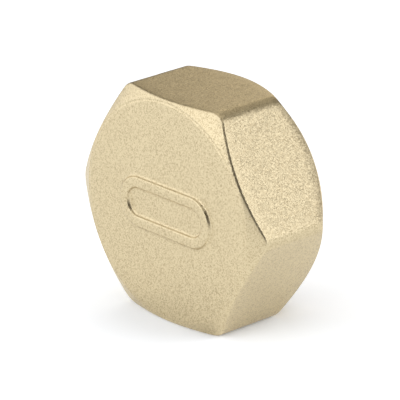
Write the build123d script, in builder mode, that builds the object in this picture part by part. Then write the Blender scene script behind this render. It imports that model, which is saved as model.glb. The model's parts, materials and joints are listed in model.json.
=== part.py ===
from build123d import *

import os
from math import radians, tan

# Blind hexagonal pipe cap, hot-forged in brass with a machined mouth, for a G 3/4 pipe end.
#
# Frame, mm: Y is the thread axis, with the closed face towards -Y and the mouth towards +Y.
# The origin is on the thread axis, midway between the closed face and the mouth. The cap
# stands on one of its wrench flats, so Z is up and the hexagon's corners point along X.

# ---- Pipe thread: G 3/4, parallel, Whitworth form ----
thread_major_d = 26.441
thread_pitch = 25.4 / 14
thread_depth = 0.640327 * thread_pitch
thread_length = 8.0  # full thread, from the lead-in chamfer to the relief groove

# ---- Forged hexagonal body ----
wall_at_flats = 2.28  # from the thread's root to a wrench flat; gives a 31 mm spanner size
end_wall = 2.8  # thickness behind the closed face
corner_radius = 2.2  # rounded corner edges, left by the die
face_margin = 0.4  # the closed face's circle stays this far inside the wrench flats
face_chamfer_angle = 30
face_step = 0.08  # the closed face is a low disc, this far in front of the chamfer's start
face_step_draft = 35  # degrees, of the low disc's edge
face_step_inset = 0.17  # the disc is this much smaller in radius than the chamfer's circle
flat_edge_radius = 0.25  # soft edge between the chamfer and the wrench flats

# ---- Machined mouth ----
lead_in_clearance = 0.3  # the lead-in starts this much outside the thread's root, radially
mouth_margin = 0.9  # the flat rim stays this far inside the wrench flats
mouth_chamfer_angle = 45
relief_clearance = 0.2  # the relief groove is this much deeper than the thread's root
relief_width = 2.2
relief_corner = 0.5  # 45 degree corner where the groove meets the bore's flat end

# ---- Raised blank cartouche on the closed face ----
cartouche_length = 17.4
cartouche_height = 7.2
cartouche_band = 1.7
cartouche_relief = 0.4
cartouche_draft = 25  # degrees, so that it leaves the die
cartouche_edge = 0.15  # chamfer along the top of the band

# ---- Sizes that follow ----
thread_root_r = thread_major_d / 2
bore_r = thread_root_r - thread_depth
flat_r = thread_root_r + wall_at_flats
face_circle_r = flat_r - face_margin
face_disc_r = face_circle_r - face_step_inset
face_disc_foot_r = face_disc_r + face_step * tan(radians(face_step_draft))
face_land_r = face_circle_r + face_step / tan(radians(face_chamfer_angle))
rim_r = flat_r - mouth_margin
lead_in_r = thread_root_r + lead_in_clearance
lead_in_depth = lead_in_r - bore_r
relief_r = thread_root_r + relief_clearance
relief_step = relief_r - bore_r  # the groove's near side is a 45 degree run-out
bore_depth = lead_in_depth + thread_length + relief_width
cap_length = bore_depth + end_wall
closed_y = -cap_length / 2
mouth_y = cap_length / 2
envelope_r = 1.2 * flat_r  # just outside the hexagon's corners

with BuildPart() as cap:
    # Hexagonal blank with rounded corners, from the closed face to the mouth.
    with BuildSketch(Plane.XZ.offset(-mouth_y)) as hexagon:
        RegularPolygon(radius=flat_r, side_count=6, major_radius=False)
        fillet(hexagon.vertices(), corner_radius)
    extrude(amount=cap_length)

    # A turned envelope cuts the cone chamfers across the corners at both ends, and leaves the
    # closed face as a low disc with a narrow land round it.
    face_chamfer_length = (envelope_r - face_circle_r) * tan(radians(face_chamfer_angle))
    mouth_chamfer_length = (envelope_r - rim_r) * tan(radians(mouth_chamfer_angle))
    with BuildSketch(Plane.XY) as envelope:
        with BuildLine():
            Polyline(
                (0, closed_y),
                (face_disc_r, closed_y),
                (face_disc_foot_r, closed_y + face_step),
                (face_land_r, closed_y + face_step),
                (envelope_r, closed_y + face_chamfer_length),
                (envelope_r, mouth_y - mouth_chamfer_length),
                (rim_r, mouth_y),
                (0, mouth_y),
                close=True,
            )
        make_face()
    revolve(axis=Axis.Y, mode=Mode.INTERSECT)

    # Soft forged edges in front of the wrench flats. From the closed face, the first cone is the
    # disc's edge and the second is the chamfer.
    face_chamfer = cap.faces().filter_by(GeomType.CONE).sort_by(Axis.Y)[1]
    flat_edges = [
        edge for edge in face_chamfer.edges()
        if edge.geom_type not in (GeomType.CIRCLE, GeomType.LINE)
    ]
    fillet(flat_edges, flat_edge_radius)

    # Blind bore: lead-in chamfer, thread wall at its minor diameter, relief groove, flat end.
    thread_start_y = mouth_y - lead_in_depth
    thread_end_y = thread_start_y - thread_length
    bore_end_y = mouth_y - bore_depth
    with BuildSketch(Plane.XY) as bore:
        with BuildLine():
            Polyline(
                (0, mouth_y),
                (lead_in_r, mouth_y),
                (bore_r, thread_start_y),
                (bore_r, thread_end_y),
                (relief_r, thread_end_y - relief_step),
                (relief_r, bore_end_y),
                (0, bore_end_y),
                close=True,
            )
        make_face()
        groove_corner = bore.vertices().sort_by(Axis.Y)[:2].sort_by(Axis.X)[-1]
        chamfer(groove_corner, relief_corner)
    revolve(axis=Axis.Y, mode=Mode.SUBTRACT)

    # Raised band of the cartouche, with draft on both sides and its top edges broken.
    with BuildSketch(Plane.XZ.offset(-closed_y)) as cartouche:
        SlotOverall(cartouche_length, cartouche_height)
        SlotOverall(
            cartouche_length - 2 * cartouche_band,
            cartouche_height - 2 * cartouche_band,
            mode=Mode.SUBTRACT,
        )
    extrude(amount=cartouche_relief, taper=cartouche_draft)
    band_top = cap.faces().filter_by(Plane.XZ).sort_by(Axis.Y)[0]
    chamfer(band_top.edges(), cartouche_edge)

cap.part.label = "cap"

os.makedirs("parts", exist_ok=True)
export_step(cap.part, "parts/cap.step")

print(f"Spanner size {2 * flat_r:.2f} mm, length {cap_length:.2f} mm, bore depth {bore_depth:.2f} mm")
print(f"Thread: major {thread_major_d:.3f}, minor {2 * bore_r:.3f}, pitch {thread_pitch:.3f} mm")
print(f"Rim: {2 * lead_in_r:.2f} to {2 * rim_r:.2f} mm across")
print(f"Volume {cap.part.volume:.0f} mm3")
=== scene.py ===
# %% [markdown]
# # A forged brass pipe cap
#
# This lesson dresses a threaded pipe cap: a hexagon of brass, closed at one end, that screws over
# the end of a pipe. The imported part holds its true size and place. Here the same form is built
# again as a fine mesh, with soft forged edges and a real thread, and gets its two finishes: the
# matt skin that shot blasting leaves, and bright turned metal where a lathe has cut.

import json
from math import atan2, ceil, cos, hypot, pi, radians, sin, sqrt, tan

import bmesh
import bpy
from bmesh.types import BMEdge, BMFace, BMVert
from mathutils import Matrix, Vector


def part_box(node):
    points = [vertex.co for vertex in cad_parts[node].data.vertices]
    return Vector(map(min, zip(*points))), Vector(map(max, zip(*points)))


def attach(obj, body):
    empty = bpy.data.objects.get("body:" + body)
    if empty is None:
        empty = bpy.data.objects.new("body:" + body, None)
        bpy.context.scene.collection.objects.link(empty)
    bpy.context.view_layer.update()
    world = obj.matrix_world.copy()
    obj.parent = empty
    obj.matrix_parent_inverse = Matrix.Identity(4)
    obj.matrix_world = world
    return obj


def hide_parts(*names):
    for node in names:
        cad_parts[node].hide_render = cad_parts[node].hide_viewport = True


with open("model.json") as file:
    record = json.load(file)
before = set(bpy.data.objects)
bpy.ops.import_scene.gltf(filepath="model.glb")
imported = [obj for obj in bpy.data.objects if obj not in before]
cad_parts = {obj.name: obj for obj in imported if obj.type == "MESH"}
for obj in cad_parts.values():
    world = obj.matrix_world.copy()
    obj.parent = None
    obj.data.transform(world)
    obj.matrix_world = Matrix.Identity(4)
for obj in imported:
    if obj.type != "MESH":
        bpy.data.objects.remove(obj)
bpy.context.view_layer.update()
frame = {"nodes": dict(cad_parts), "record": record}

# %% [markdown]
# ## Sizes
#
# Blender works in metres and a fitting is measured in millimetres, so each size below is written in
# millimetres and turned by one constant. The thread axis is Y. The closed face looks towards -Y and
# the mouth towards +Y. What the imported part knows, such as its box and its threaded hole, is read
# from it, so that this mesh lands exactly on the solid.

# %% Sizes of the hexagon
MM = 0.001
cap_low, cap_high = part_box("cap")

FLAT_R = cap_high.z - 0.001 * MM  # thread axis to a wrench flat, a hair inside the solid
CORNER_R = 2.2 * MM  # rounding of the six corner edges
RELIEF = 0.4 * MM  # how far the raised mark stands in front of the closed face
CLOSED_Y = cap_low.y + RELIEF
MOUTH_Y = cap_high.y
print(f"{2 * FLAT_R / MM:.1f} mm across flats, {(MOUTH_Y - CLOSED_Y) / MM:.2f} mm long")

# %% [markdown]
# ## The forged body, ring by ring
#
# A forging die presses the hexagon, and its corners come out rounded. A lathe-like mesh suits it:
# start from one circle of points round the thread axis, then extrude the ring of edges again and
# again, and lay each new ring at its own radius and place along the axis. The radius may depend on
# the angle, and that is how a circle turns into a hexagon with rounded corners.

# %% The rounded hexagon as a radius for each angle
def hexagon_radius(angle):
    """Distance from the axis to the rounded hexagon, whose corners point along X."""
    from_flat = abs((angle + pi / 6 - pi / 2) % (pi / 3) - pi / 6)
    if FLAT_R * tan(from_flat) <= (FLAT_R - CORNER_R) * tan(pi / 6):
        return FLAT_R / cos(from_flat)
    arc_centre = (FLAT_R - CORNER_R) / cos(pi / 6)
    from_corner = pi / 6 - from_flat
    return arc_centre * cos(from_corner) + sqrt(CORNER_R**2 - (arc_centre * sin(from_corner)) ** 2)


print(f"{2 * hexagon_radius(0) / MM:.2f} mm across the rounded corners")

# %% Extrude a line of edges
def only(kind, geom):
    """Those members of a geometry list that are of one kind: points, edges or faces."""
    return [item for item in geom if isinstance(item, kind)]


def extrude_line(bm, edges, material):
    """Extrudes a line of edges, and returns the points and edges of the new line."""
    made = bmesh.ops.extrude_edge_only(bm, edges=edges)["geom"]
    for face in only(BMFace, made):
        face.material_index = material
    verts = only(BMVert, made)
    new_line = set(verts)
    return verts, [edge for edge in only(BMEdge, made) if new_line.issuperset(edge.verts)]


# %% Rings of edges
SEGMENTS = 720  # points in a ring, so that each rounded corner gets enough of them


def lay_ring(verts, radius, y):
    """Moves each point of a ring to radius(angle) from the axis, and to y(angle) along it."""
    for vert in verts:
        angle = atan2(vert.co.z, vert.co.x)
        r = radius(angle) if callable(radius) else radius
        vert.co = (r * cos(angle), y(angle) if callable(y) else y, r * sin(angle))


def first_ring(bm, radius, y):
    """A circle of edges round the thread axis."""
    verts = bmesh.ops.create_circle(bm, segments=SEGMENTS, radius=radius)["verts"]
    bmesh.ops.rotate(bm, verts=verts, cent=(0, 0, 0), matrix=Matrix.Rotation(pi / 2, 3, "X"))
    lay_ring(verts, radius, y)
    circle = set(verts)
    return [edge for edge in bm.edges if circle.issuperset(edge.verts)]


def next_ring(bm, ring, radius, y, material):
    """Extrudes a ring of edges, lays the new ring in its place, and returns its edges."""
    verts, edges = extrude_line(bm, ring, material)
    lay_ring(verts, radius, y)
    return edges


def close_pole(bm, ring):
    """Draws a small last ring together into one point."""
    verts = list(dict.fromkeys(vert for edge in ring for vert in edge.verts))
    middle = sum((vert.co for vert in verts), Vector()) / len(verts)
    bmesh.ops.pointmerge(bm, verts=verts, merge_co=middle)


print(f"One point of a ring for every {360 / SEGMENTS} degrees")

# %% [markdown]
# ## Where the two cones meet the flats
#
# Both ends of the hexagon are cut by a cone. The corners lie further from the axis, so the cone
# bites deeper there, and that makes the curved edge in front of every wrench flat. For a point on
# the hexagon, the place along the axis follows from its radius alone.

# %% Front and rear edges of the flats
FACE_CHAMFER = radians(30)
FACE_CIRCLE_R = FLAT_R - 0.4 * MM  # where the cone would meet the closed face
MOUTH_CHAMFER = radians(45)
RIM_R = FLAT_R - 0.9 * MM  # where the other cone meets the rim of the mouth


def front_edge(angle):
    """Where the cone of the closed face cuts the hexagon."""
    return CLOSED_Y + (hexagon_radius(angle) - FACE_CIRCLE_R) * tan(FACE_CHAMFER)


def rear_edge(angle):
    """Where the cone of the mouth cuts it."""
    return MOUTH_Y - (hexagon_radius(angle) - RIM_R) * tan(MOUTH_CHAMFER)


def between(share):
    """The place along the axis that is this share of the way from front edge to rear edge."""
    return lambda angle: front_edge(angle) + share * (rear_edge(angle) - front_edge(angle))


for place, angle in (("middle of a flat", pi / 2), ("corner", 0)):
    print(f"{(rear_edge(angle) - front_edge(angle)) / MM:.2f} mm long at the {place}")

# %% [markdown]
# ## The closed face and the flats
#
# The closed face is a disc that stands less than a tenth of a millimetre in front of a narrow land,
# and the cone starts from that land. No edge of a forging is sharp, and the broadest is the one in
# front of the flats, which shows as a dark line. A ring that marks an edge is noted with the width
# of its rounding, and all are bevelled once the rings are there, because a bevel changes the edges
# that the next extrusion would start from.

# %% Skin, from the pole of the closed face to the rear edge of the flats
SKIN, TURNED = 0, 1  # the two finishes, as slots
POLE_R = 0.02 * MM
FACE_STEP = 0.08 * MM  # height of the disc
FACE_DISC_R = FACE_CIRCLE_R - 0.3 * MM
FACE_DISC_FOOT_R = FACE_CIRCLE_R - 0.11 * MM
FACE_LAND_R = FACE_CIRCLE_R + FACE_STEP / tan(FACE_CHAMFER)
FLAT_EDGE_R = 0.42 * MM  # radius of the soft edge in front of the flats
FLAT_EDGE = FLAT_EDGE_R * tan((pi / 2 - FACE_CHAMFER) / 2)
REAR_EDGE = 0.06 * MM
FLANK_ROWS = 8  # rows of faces along a flat

body = bmesh.new()
soft_edges = []  # (ring, width of its rounding, segments)

pole = first_ring(body, POLE_R, CLOSED_Y)
ring = pole
for radius in (4 * MM, 8 * MM, 12 * MM):
    ring = next_ring(body, ring, radius, CLOSED_Y, SKIN)
for radius, y, width, segments in (
    # radius, place along the axis, width of the rounding and its segments
    (FACE_DISC_R, CLOSED_Y, 0.05 * MM, 3),
    (FACE_DISC_FOOT_R, CLOSED_Y + FACE_STEP, 0.02 * MM, 2),
    (FACE_LAND_R, CLOSED_Y + FACE_STEP, 0.04 * MM, 3),
    (hexagon_radius, front_edge, FLAT_EDGE, 8),
):
    ring = next_ring(body, ring, radius, y, SKIN)
    soft_edges.append((ring, width, segments))
for row in range(1, FLANK_ROWS):
    ring = next_ring(body, ring, hexagon_radius, between(row / FLANK_ROWS), SKIN)
ring = next_ring(body, ring, hexagon_radius, rear_edge, SKIN)
soft_edges.append((ring, REAR_EDGE, 2))
print(f"Skin: {len(body.faces)} faces before its edges are rounded")

# %% [markdown]
# ## The bore
#
# The mouth has a flat rim and a 45 degree lead-in, so that the pipe finds the thread. Behind the
# thread lies a groove a little deeper than the thread, where the tool runs out, and then the flat
# end. The rings leave a gap between the lead-in and the groove, because the thread goes there.

# %% Sizes of the bore
thread_mount = next(m for m in frame["record"]["mounts"] if m["name"] == "pipe_thread")

BORE_R = thread_mount["dims"]["r_mm"] * MM  # crest of the thread
PITCH = 25.4 / 14 * MM  # 14 turns to the inch
ROOT_R = BORE_R + 0.640327 * PITCH  # the depth of a Whitworth thread is this share of its pitch
LEAD_IN_R = ROOT_R + 0.3 * MM
GROOVE_R = ROOT_R + 0.2 * MM
GROOVE_WIDTH = 2.2 * MM
GROOVE_CORNER = 0.5 * MM  # 45 degree corner between the groove and the flat end

THREAD_START_Y = MOUTH_Y - (LEAD_IN_R - BORE_R)  # where the lead-in ends
THREAD_END_Y = THREAD_START_Y - thread_mount["dims"]["length_mm"] * MM
BORE_END_Y = THREAD_END_Y - GROOVE_WIDTH
LEAD_IN_END_Y = MOUTH_Y - (LEAD_IN_R - ROOT_R)  # where the thread's root meets the lead-in
RUN_OUT_START_Y = THREAD_END_Y - (ROOT_R - BORE_R)  # where it meets the groove's 45 degree side
print(f"Crest {2 * BORE_R / MM:.3f} mm and root {2 * ROOT_R / MM:.3f} mm across")

# %% Rim and lead-in, then groove and end of the bore
SEAM = 0.08 * MM  # the thread is bridged to the rings across this much of each cone
TURNED_EDGE = 0.05 * MM

for radius in (RIM_R, LEAD_IN_R):
    ring = next_ring(body, ring, radius, MOUTH_Y, TURNED)
    soft_edges.append((ring, TURNED_EDGE, 2))
next_ring(body, ring, ROOT_R + SEAM, LEAD_IN_END_Y + SEAM, TURNED)

ring = first_ring(body, ROOT_R + SEAM, RUN_OUT_START_Y - SEAM)
for radius, y in (
    (GROOVE_R, THREAD_END_Y - (GROOVE_R - BORE_R)),
    (GROOVE_R, BORE_END_Y + GROOVE_CORNER),
    (GROOVE_R - GROOVE_CORNER, BORE_END_Y),
    (8 * MM, BORE_END_Y),
    (4 * MM, BORE_END_Y),
    (POLE_R, BORE_END_Y),
):
    ring = next_ring(body, ring, radius, y, TURNED)
bore_pole = ring
print(f"The bore is {(MOUTH_Y - BORE_END_Y) / MM:.2f} mm deep")

# %% Round the edges and close the poles
def soften(bm, edges, width, segments):
    """Rounds edges off. Every setting is written out, as bevel's defaults aren't the editor's."""
    bmesh.ops.bevel(
        bm,
        geom=edges,
        offset=width,
        offset_type="OFFSET",
        segments=segments,
        profile=0.5,
        affect="EDGES",
        clamp_overlap=True,
        material=-1,
    )


for edges, width, segments in soft_edges:
    soften(body, edges, width, segments)
close_pole(body, pole)
close_pole(body, bore_pole)
print(f"Body rings: {len(body.faces)} faces")

# %% [markdown]
# ## The pipe thread
#
# A pipe thread is a ridge that winds round the bore, one pitch further along for each turn. `spin`
# makes it in one call: it turns a short zigzag about the axis and also pushes it along at every
# step. The zigzag is the sharp 55 degree triangle of the Whitworth form. Real crests and roots are
# round, and a bevel on the winding edges rounds them to the standard's radius.

# %% Wind the thread
WELD = 0.001 * MM  # points that lie closer than this are made one
STEPS_PER_TURN = 144
SHARP_HEIGHT = 0.960491 * PITCH  # of the triangle, before its tips are rounded
ROOT_SHARP_R = ROOT_R + SHARP_HEIGHT / 6
CREST_SHARP_R = BORE_R - SHARP_HEIGHT / 6

thread = bmesh.new()
thread_low_y = RUN_OUT_START_Y - 1.5 * PITCH  # so far back that only full turns are left
turns = ceil((LEAD_IN_END_Y - thread_low_y) / PITCH) + 1
zigzag = [
    thread.verts.new((ROOT_SHARP_R, thread_low_y, 0)),
    thread.verts.new((CREST_SHARP_R, thread_low_y + PITCH / 2, 0)),
    thread.verts.new((ROOT_SHARP_R, thread_low_y + PITCH, 0)),
]
zigzag_edges = [thread.edges.new(zigzag[:2]), thread.edges.new(zigzag[1:])]
bmesh.ops.spin(
    thread,
    geom=zigzag + zigzag_edges,
    cent=(0, 0, 0),
    axis=(0, 1, 0),
    dvec=(0, PITCH / STEPS_PER_TURN, 0),
    angle=2 * pi * turns,
    steps=STEPS_PER_TURN * turns,
    use_merge=False,
)
bmesh.ops.remove_doubles(thread, verts=thread.verts, dist=WELD)
print(f"Thread: {turns} turns wound, {len(thread.faces)} faces")

# %% Round its crests and roots
TIP_R = 0.137329 * PITCH
ROUNDING = TIP_R / tan(radians(55) / 2)  # from the sharp tip to where its arc begins


def from_axis(vert):
    """A point's distance from the thread axis."""
    return hypot(vert.co.x, vert.co.z)


# An edge whose two points are as far from the axis as each other is a crest or a root.
winding = [
    edge for edge in thread.edges
    if abs(from_axis(edge.verts[0]) - from_axis(edge.verts[1])) < 10 * WELD
]
soften(thread, winding, ROUNDING, 5)
print(f"{len(winding)} winding edges rounded")

# %% [markdown]
# ## Trim the thread
#
# The lead-in cuts the first turn away in a cone, and the groove cuts the last. `bisect_plane` trims
# the winding square at both ends, and then no point may stand further in than the two cones allow.
# What is left at each end is a clean circle, which `bridge_loops` joins to the rings of the body.

# %% Trim its ends
def cone_limit(y):
    """The least radius that the lead-in and the run-out leave at this place along the axis."""
    return BORE_R + max(0, y - THREAD_START_Y, THREAD_END_Y - y)


for plane_y, outward in ((LEAD_IN_END_Y, 1), (RUN_OUT_START_Y, -1)):
    bmesh.ops.bisect_plane(
        thread,
        geom=thread.verts[:] + thread.edges[:] + thread.faces[:],
        plane_co=(0, plane_y, 0),
        plane_no=(0, outward, 0),
        clear_outer=True,
        dist=WELD,
    )
for vert in thread.verts:
    grow = max(from_axis(vert), cone_limit(vert.co.y)) / from_axis(vert)
    vert.co.x *= grow
    vert.co.z *= grow
for face in thread.faces:
    face.material_index = TURNED
print(f"Trimmed thread: {len(thread.faces)} faces")

# %% Join the thread to the body
thread_mesh = bpy.data.meshes.new("pipe_thread")
thread.to_mesh(thread_mesh)
thread.free()
body.from_mesh(thread_mesh)
bpy.data.meshes.remove(thread_mesh)

open_edges = [edge for edge in body.edges if edge.is_boundary]
middle_y = (THREAD_START_Y + THREAD_END_Y) / 2
for side in (1, -1):
    edges = [edge for edge in open_edges if (edge.verts[0].co.y - middle_y) * side > 0]
    for face in bmesh.ops.bridge_loops(body, edges=edges)["faces"]:
        face.material_index = TURNED
bmesh.ops.remove_doubles(body, verts=body.verts, dist=WELD / 2)
bmesh.ops.recalc_face_normals(body, faces=body.faces)
print("Open edges left:", sum(edge.is_boundary for edge in body.edges))
print(f"Volume {body.calc_volume(signed=True) / MM**3:.0f} mm3")

# %% [markdown]
# ## The raised mark
#
# Forged caps carry a raised mark on the closed face. This one is a blank cartouche: a plain band
# that runs round a long oval. Its section is drawn once. One spin carries it round an end, an
# extrusion along a straight side, and the same again for the other half. The foot flares out in a
# small hollow curve, as metal does where it fills a die, so the band grows out of the face.

# %% Section of the band
BAND_LENGTH = 17.4 * MM
BAND_HEIGHT = 7.2 * MM
BAND_WIDTH = 1.7 * MM
BAND_DRAFT = radians(25)
FOOT = 0.25 * MM  # how far the hollow foot reaches past the band
LIP = 0.003 * MM  # the foot's edge lies this little above the face
SUNK = 0.2 * MM  # and the underside this far behind it, out of sight
END_STEPS = 48  # faces round each end

end_r = BAND_HEIGHT / 2 - BAND_WIDTH / 2  # middle of the band, round each end
end_x = BAND_LENGTH / 2 - BAND_HEIGHT / 2
half_top = BAND_WIDTH / 2 - RELIEF * tan(BAND_DRAFT)
half_foot = BAND_WIDTH / 2 + FOOT
section = [
    (-half_foot, -SUNK),
    (-half_foot, LIP),
    (-BAND_WIDTH / 2, LIP),
    (-half_top, RELIEF),
    (half_top, RELIEF),
    (BAND_WIDTH / 2, LIP),
    (half_foot, LIP),
    (half_foot, -SUNK),
]
print(f"Band {BAND_WIDTH / MM} mm wide at its foot and {2 * half_top / MM:.2f} mm at its top")

# %% Carry the section round the oval
band = bmesh.new()
verts = [band.verts.new((end_x, CLOSED_Y - out, end_r + across)) for across, out in section]
edges = [band.edges.new((a, b)) for a, b in zip(verts, verts[1:] + verts[:1])]
for side in (1, -1):
    after_end = bmesh.ops.spin(
        band,
        geom=verts + edges,
        cent=(side * end_x, 0, 0),
        axis=(0, 1, 0),
        angle=pi,
        steps=END_STEPS,
        use_merge=False,
    )["geom_last"]
    verts, edges = extrude_line(band, only(BMEdge, after_end), SKIN)
    bmesh.ops.translate(band, verts=verts, vec=(-side * 2 * end_x, 0, 0))
bmesh.ops.remove_doubles(band, verts=band.verts, dist=WELD)
bmesh.ops.recalc_face_normals(band, faces=band.faces)
print(f"Oval: {len(band.faces)} faces")

# %% Round the band's top and hollow its foot
TOP_EDGE = 0.16 * MM
HOLLOW = 0.2 * MM
LEAST_FOLD = 0.2  # radians; a flatter edge is only a seam between two faces of one surface


def lines_round(out, hollow):
    """The folds that run round the oval at this height, hollow ones or ridges."""
    level = CLOSED_Y - out
    return [
        edge for edge in band.edges
        if all(abs(vert.co.y - level) < WELD for vert in edge.verts)
        and edge.calc_face_angle(0) > LEAST_FOLD
        and (edge.calc_face_angle_signed(0) < 0) == hollow
    ]


soften(band, lines_round(RELIEF, hollow=False), TOP_EDGE, 4)
soften(band, lines_round(LIP, hollow=True), HOLLOW, 4)
print(f"Band: {len(band.faces)} faces, open edges {sum(e.is_boundary for e in band.edges)}")

# %% [markdown]
# ## Colours and nodes
#
# Paint and metal colours are written as sRGB hex values, as a colour picker shows them. Shaders
# calculate in linear light, so one function turns them. Another function adds a node, sets it up
# and links it, which keeps each material short enough to read as a recipe.

# %% Helpers for materials
def linear(hex_colour):
    """sRGB hex to the linear RGBA that shaders use."""
    channels = [int(hex_colour[i:i + 2], 16) / 255 for i in (1, 3, 5)]
    return [c / 12.92 if c <= 0.04045 else ((c + 0.055) / 1.055) ** 2.4 for c in channels] + [1]


def add(tree, kind, settings=None, **inputs):
    """Adds a node. Settings are its own properties. Inputs are values, or sockets to link from."""
    node = tree.nodes.new(kind)
    for name, value in (settings or {}).items():
        setattr(node, name, value)
    for name, value in inputs.items():
        key = int(name[1:]) if name[0] == "_" else name.replace("_", " ")
        if isinstance(value, bpy.types.NodeSocket):
            tree.links.new(value, node.inputs[key])
        else:
            node.inputs[key].default_value = value
    return node


def new_material(name):
    """An empty material with its output node."""
    material = bpy.data.materials.new(name)
    material.use_nodes = True
    material.node_tree.nodes.clear()
    return material, material.node_tree, material.node_tree.nodes.new("ShaderNodeOutputMaterial")


print("Mid grey #808080 in linear light:", round(linear("#808080")[0], 3))

# %% [markdown]
# ## Shot-blasted forged brass
#
# A hot forging comes out of the die dark and scaly. Steel shot then beats it clean, and every grain
# of shot leaves a small shiny dent that leans its own way. From far off the skin looks pale and
# matt. Close by it is finely speckled, and most of all where the light changes. So the recipe cuts
# the skin into grains with a Voronoi texture. The random colour of a grain serves twice: as its
# lean, added to the normal, and as its tone, because dirt stays in some of the dents.

# %% Shot-blasted skin
GRAIN = 0.12 * MM  # a dent of fine shot, and as fine as the render still shows
LEAN = 0.195  # how far a grain's normal may lean, as a share of its length
PATCH = 4 * MM  # the skin is also a little lighter or darker over patches of this size
PATCH_SHARE = 0.12  # of the tone, and the dirt in the dents has the rest


def shot_blasted_brass():
    """Forged brass with a speckle of small leaning dents."""
    material, tree, output = new_material("shot_blasted_forged_brass")
    where = add(tree, "ShaderNodeTexCoord").outputs["Object"]
    grains = add(tree, "ShaderNodeTexVoronoi", Vector=where, Scale=1 / GRAIN)
    centred = add(
        tree, "ShaderNodeVectorMath", {"operation": "SUBTRACT"},
        _0=grains.outputs["Color"], _1=(0.5, 0.5, 0.5),
    )
    lean = add(
        tree, "ShaderNodeVectorMath", {"operation": "SCALE"},
        _0=centred.outputs["Vector"], Scale=LEAN,
    )
    leaning = add(
        tree, "ShaderNodeVectorMath", {"operation": "ADD"},
        _0=add(tree, "ShaderNodeNewGeometry").outputs["Normal"], _1=lean.outputs["Vector"],
    )
    normal = add(
        tree, "ShaderNodeVectorMath", {"operation": "NORMALIZE"}, _0=leaning.outputs["Vector"],
    )
    # Half of the dents are clean, and the others hold more dirt or less.
    clean = add(
        tree, "ShaderNodeMapRange",
        Value=add(tree, "ShaderNodeSeparateXYZ", Vector=grains.outputs["Color"]).outputs["Z"],
        From_Max=0.5,
    )
    patches = add(tree, "ShaderNodeTexNoise", Vector=where, Scale=1 / PATCH, Detail=4.0)
    shade = add(
        tree, "ShaderNodeMix", {"data_type": "FLOAT"},
        _0=PATCH_SHARE, _2=clean.outputs["Result"], _3=patches.outputs["Fac"],
    )
    colour = add(tree, "ShaderNodeMix", {"data_type": "RGBA"}, _0=shade.outputs[0])
    colour.inputs[6].default_value = linear("#B2A07D")
    colour.inputs[7].default_value = linear("#D8C8A3")
    shader = add(
        tree, "ShaderNodeBsdfPrincipled",
        Base_Color=colour.outputs[2], Metallic=1.0, Roughness=0.36, Normal=normal.outputs["Vector"],
    )
    tree.links.new(shader.outputs["BSDF"], output.inputs["Surface"])
    return material


skin_material = shot_blasted_brass()
print("Made", skin_material.name, "with", len(skin_material.node_tree.nodes), "nodes")

# %% [markdown]
# ## Turned brass
#
# The mouth, the bore and the thread are cut on a lathe after blasting. A cutting tool leaves clean
# yellow metal with very fine rings round the axis, so this recipe is a brighter, smoother brass,
# and its bump is a set of rings, one for each turn of the work past the tool.

# %% Turned mouth and thread
TOOL_FEED = 0.12 * MM  # from one ring to the next
RING_HEIGHT = 0.002 * MM


def turned_brass():
    """Bright brass with the tool's rings round the thread axis."""
    material, tree, output = new_material("turned_brass")
    where = add(tree, "ShaderNodeTexCoord").outputs["Object"]
    split = add(tree, "ShaderNodeSeparateXYZ", Vector=where)
    flat = add(tree, "ShaderNodeCombineXYZ", X=split.outputs["X"], Y=split.outputs["Z"])
    reach = add(tree, "ShaderNodeVectorMath", {"operation": "LENGTH"}, _0=flat.outputs["Vector"])
    along = add(
        tree, "ShaderNodeMath", {"operation": "ADD"},
        _0=reach.outputs["Value"], _1=split.outputs["Y"],
    )
    phase = add(
        tree, "ShaderNodeMath", {"operation": "MULTIPLY"},
        _0=along.outputs["Value"], _1=2 * pi / TOOL_FEED,
    )
    rings = add(tree, "ShaderNodeMath", {"operation": "SINE"}, _0=phase.outputs["Value"])
    bump = add(
        tree, "ShaderNodeBump",
        Height=rings.outputs["Value"], Distance=RING_HEIGHT, Strength=0.5,
    )
    shader = add(
        tree, "ShaderNodeBsdfPrincipled",
        Base_Color=linear("#E0C486"), Metallic=1.0, Roughness=0.28, Normal=bump.outputs["Normal"],
    )
    tree.links.new(shader.outputs["BSDF"], output.inputs["Surface"])
    return material


turned_material = turned_brass()
print("Made", turned_material.name, "with", len(turned_material.node_tree.nodes), "nodes")

# %% [markdown]
# ## Dress the cap
#
# The two meshes become objects that stay at the origin, because their points already lie in their
# place. Both ride on the part's only body. The fine mesh then stands in for the solid, which wears
# the same skin. A Weighted Normal modifier lets the large faces decide the shading, so that the
# flats look flat right up to their soft edges.

# %% Finished pieces
def new_object(name, data):
    """An object for a mesh, a lamp or a camera, linked to the scene."""
    obj = bpy.data.objects.new(name, data)
    bpy.context.scene.collection.objects.link(obj)
    return obj


def finish_mesh(bm, name, materials):
    """Turns a bmesh into a smooth-shaded object that stays at the origin."""
    mesh = bpy.data.meshes.new(name)
    bm.to_mesh(mesh)
    bm.free()
    for material in materials:
        mesh.materials.append(material)
    mesh.shade_smooth()
    return new_object(name, mesh)


forged_cap = finish_mesh(body, "forged_cap", [skin_material, turned_material])
weighted = forged_cap.modifiers.new("even_flats", "WEIGHTED_NORMAL")
weighted.weight = 100
raised_band = finish_mesh(band, "blank_cartouche", [skin_material])
for piece in (forged_cap, raised_band):
    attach(piece, "root")
    print(f"{piece.name}: {len(piece.data.polygons)} faces")
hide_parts("cap")
frame["nodes"]["cap"].data.materials.clear()
frame["nodes"]["cap"].data.materials.append(skin_material)
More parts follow.
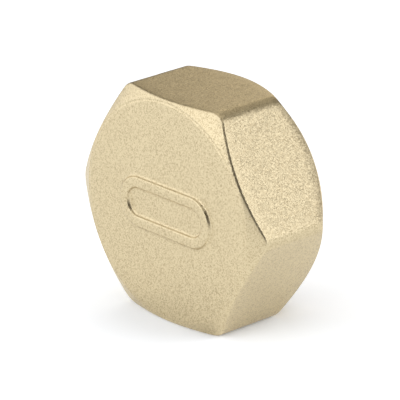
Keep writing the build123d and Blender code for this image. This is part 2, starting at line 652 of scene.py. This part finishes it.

# %% [markdown]
# ## Floor
#
# The cap stands on a plain pale floor. A camera or a mirror-like surface that looks at the floor
# sees it a little lifted by a glow, so that it reads as white. Near the cap the glow fades, and that
# fade paints a soft shadow round the cap's foot, on top of the shadow that the lamps cast. The metal
# mirrors this painted shadow too. To tell how near, the floor looks two ways, a little upwards past
# the cap, with an Ambient Occlusion node for each look: the more the cap fills the look, the less
# glow is left, and the darker the painted shadow.

# %% Floor
def direction(azimuth, elevation):
    """A unit vector. Azimuth 0 is in front of the closed face, and 90 is +X."""
    a, e = radians(azimuth), radians(elevation)
    return Vector((sin(a) * cos(e), -cos(a) * cos(e), sin(e)))


# Each look, and the share of the glow that is left where the cap fills it, where the painted
# shadow is darkest. The first look paints shadow on the floor in front of the closed face, and the
# second on the floor behind the mouth.
LOOKS = ((direction(170, 15), 0.3), (direction(-8, 15), 0.0))
LOOK_REACH = 24 * MM
FILLED, CLEAR = 0.27, 0.69  # what the node gives where the look is filled, and where it is clear
GLOW = 0.56  # added to the painted floor, this makes white


def pale_floor_with_painted_shadow():
    """Pale paint with a glow that fades near the cap, and so paints a shadow there."""
    material, tree, output = new_material("pale_studio_floor_with_painted_shadow")
    paths = add(tree, "ShaderNodeLightPath")
    seen = add(
        tree, "ShaderNodeMath", {"operation": "MAXIMUM"},
        _0=paths.outputs["Is Camera Ray"], _1=paths.outputs["Is Glossy Ray"],
    )
    seen = add(
        tree, "ShaderNodeMath", {"operation": "MAXIMUM"},
        _0=seen.outputs["Value"], _1=paths.outputs["Is Transmission Ray"],
    )
    glow_left_by_painted_shadow = []
    for look, least in LOOKS:
        normal = add(tree, "ShaderNodeCombineXYZ", X=look.x, Y=look.y, Z=look.z)
        near = add(
            tree, "ShaderNodeAmbientOcclusion", {"samples": 8},
            Distance=LOOK_REACH, Normal=normal.outputs["Vector"],
        )
        share = add(
            tree, "ShaderNodeMapRange",
            Value=near.outputs["AO"], From_Min=FILLED, From_Max=CLEAR, To_Min=least,
        )
        glow_left_by_painted_shadow.append(share.outputs["Result"])
    # The glow left after both looks. Where it drops, the floor shows a painted shadow.
    both_ways = add(
        tree, "ShaderNodeMath", {"operation": "MULTIPLY"}, _0=glow_left_by_painted_shadow[0], _1=glow_left_by_painted_shadow[1],
    )
    strength = add(
        tree, "ShaderNodeMath", {"operation": "MULTIPLY"}, _0=both_ways.outputs["Value"], _1=GLOW,
    )
    lift = add(
        tree, "ShaderNodeMath", {"operation": "MULTIPLY"},
        _0=seen.outputs["Value"], _1=strength.outputs["Value"],
    )
    paint = add(tree, "ShaderNodeBsdfDiffuse", Color=linear("#E8EDF5"))
    glow = add(tree, "ShaderNodeEmission", Color=linear("#FFFFFF"), Strength=lift.outputs["Value"])
    both = add(tree, "ShaderNodeAddShader", _0=paint.outputs["BSDF"], _1=glow.outputs["Emission"])
    tree.links.new(both.outputs["Shader"], output.inputs["Surface"])
    return material


FLOOR_SIZE = 6.0  # metres, so that its edge is far off
floor_bm = bmesh.new()
bmesh.ops.create_grid(floor_bm, x_segments=1, y_segments=1, size=FLOOR_SIZE / 2)
bmesh.ops.translate(floor_bm, verts=floor_bm.verts, vec=(0, 0, cap_low.z))
floor = finish_mesh(floor_bm, "studio_floor", [pale_floor_with_painted_shadow()])
print(f"Floor at {cap_low.z / MM:.2f} mm, where the lowest flat stands")

# %% [markdown]
# ## Lights
#
# Blasted metal reflects whatever it faces, blurred. So each face that the view shows gets a soft box
# in the direction that it mirrors: a broad one in front, one overhead, and others low on both sides.
# A box a little off that direction lights the grains less evenly, which brings them out.

# %% Lights
LAMP_DISTANCE = 0.8  # metres, from the middle of the cap


def soft_box(name, azimuth, elevation, width, height, watts, colour):
    """An area lamp that faces the cap."""
    lamp = bpy.data.lights.new(name, "AREA")
    lamp.shape = "RECTANGLE"
    lamp.size = width
    lamp.size_y = height
    lamp.energy = watts
    lamp.color = colour
    obj = new_object(name, lamp)
    towards = direction(azimuth, elevation)
    obj.location = towards * LAMP_DISTANCE
    obj.rotation_euler = towards.to_track_quat("Z", "Y").to_euler()
    print(f"{name}: {watts} W, {width} by {height} m")


# Name, azimuth and elevation in degrees, width and height in metres, watts, colour
soft_box("front", -38, 24, 1.6, 0.8, 5.45, (0.965, 0.99, 1.06))
soft_box("front_right", -4, 25, 0.5, 0.5, 0.35, (1, 1, 1))
soft_box("overhead", 0, 88, 1.15, 1.15, 2.9, (1, 0.97, 0.91))
soft_box("right", 120, 23, 0.45, 0.7, 1.75, (0.97, 1, 1.08))
soft_box("right_rear", 138, 20, 0.4, 0.4, 0.2, (0.97, 1, 1.09))
soft_box("left_rear", -147, 23, 0.42, 0.4, 0.47, (1, 0.92, 0.76))

# %% [markdown]
# ## The room
#
# A studio is a faint warm room with one dark side, where nothing is lit. The edges that face the
# dark side show as thin dark lines, and without it the soft edge in front of a flat would vanish
# between its bright neighbours. The world is that room: its level falls off towards one direction.

# %% The room
ROOM_COLOUR = (1.0, 0.93, 0.8, 1)
ROOM_LEVEL = 0.2
DARK_LEVEL = 0.05
DARK_SIDE = direction(47, 21)
DARK_WITHIN, DIM_WITHIN = radians(45), radians(70)  # of the dark side


def faint_room():
    """A faint warm room all round, with one dark side."""
    world = bpy.data.worlds.new("studio")
    bpy.context.scene.world = world
    world.use_nodes = True
    tree = world.node_tree
    background = tree.nodes["Background"]
    background.inputs["Color"].default_value = ROOM_COLOUR
    nearness = add(
        tree, "ShaderNodeVectorMath", {"operation": "DOT_PRODUCT"},
        _0=add(tree, "ShaderNodeTexCoord").outputs["Generated"], _1=DARK_SIDE,
    )
    strength = add(
        tree, "ShaderNodeMapRange", {"interpolation_type": "SMOOTHSTEP"},
        Value=nearness.outputs["Value"],
        From_Min=cos(DIM_WITHIN), From_Max=cos(DARK_WITHIN), To_Min=ROOM_LEVEL, To_Max=DARK_LEVEL,
    )
    tree.links.new(strength.outputs["Result"], background.inputs["Strength"])
    print(f"Room at {ROOM_LEVEL}, and {DARK_LEVEL} on its dark side")


faint_room()

# %% [markdown]
# ## Camera
#
# The view is a long lens from some way off, turned to the right of the closed face and a little
# above it, so that the face, the top and two flats show. It aims a hair to the left of the cap's
# middle and below it.

# %% Camera
CAMERA_AZIMUTH = 47.1
CAMERA_ELEVATION = 21.0
CAMERA_DISTANCE = 0.47
PICTURE_WIDTH = 52.7 * MM  # what the picture spans at the cap
SENSOR_WIDTH = 36  # in millimetres, as the lens is
AIM_LEFT = 0.79 * MM
AIM_DOWN = 0.21 * MM

camera_data = bpy.data.cameras.new("camera")
camera_data.sensor_width = SENSOR_WIDTH
camera_data.lens = SENSOR_WIDTH * CAMERA_DISTANCE / PICTURE_WIDTH
camera_data.clip_start = 0.01
camera = new_object("camera", camera_data)

back = direction(CAMERA_AZIMUTH, CAMERA_ELEVATION)
right = direction(CAMERA_AZIMUTH + 90, 0)
up = back.cross(right)
camera.location = right * -AIM_LEFT + up * -AIM_DOWN + back * CAMERA_DISTANCE
camera.rotation_euler = back.to_track_quat("Z", "Y").to_euler()
bpy.context.scene.camera = camera
bpy.context.scene.view_settings.view_transform = "Standard"
print(f"Lens {camera_data.lens:.0f} mm")
